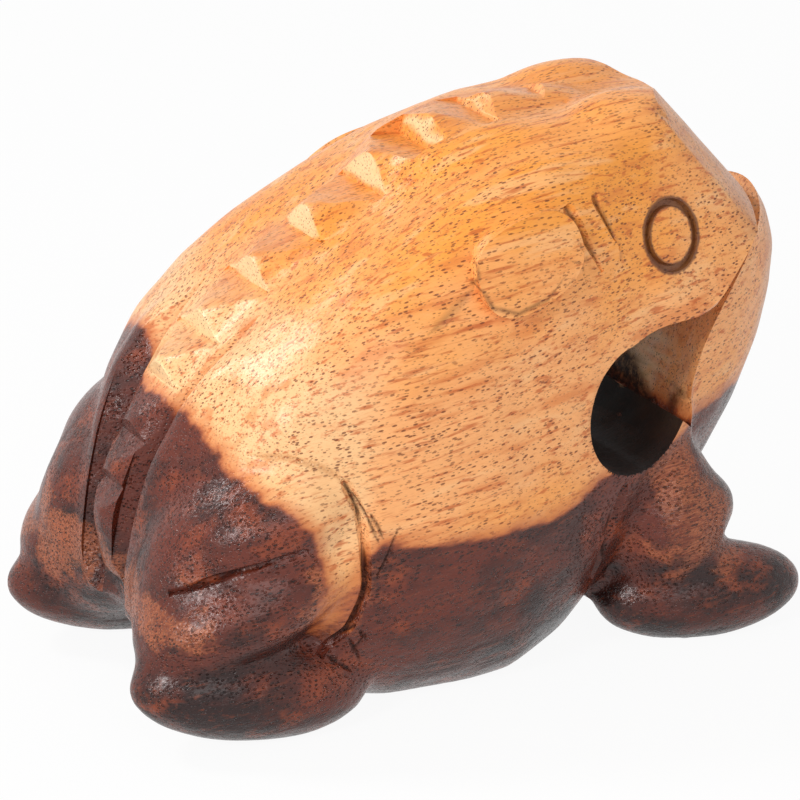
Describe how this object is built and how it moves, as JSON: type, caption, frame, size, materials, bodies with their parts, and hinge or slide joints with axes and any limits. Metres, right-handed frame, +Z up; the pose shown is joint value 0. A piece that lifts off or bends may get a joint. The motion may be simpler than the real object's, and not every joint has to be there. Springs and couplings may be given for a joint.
{
  "type": "frog guiro",
  "caption": "Carved wooden frog guiro: a toothed keel to rasp along the back, a mouth hole drilled side to side, and a sound chamber bored into the belly.",
  "frame": {"origin": "middle of the outline seen from above, at the height of the soles", "axes": "+X is the way the frog looks, +Y is its left side, +Z is up"},
  "size_m": [0.1136, 0.0632, 0.0813],
  "materials": {
    "wood": "satin varnish, scorched dark on the legs and belly"
  },
  "bodies": {
    "root": {"frog_body": "wood"}
  },
  "joints": []
}
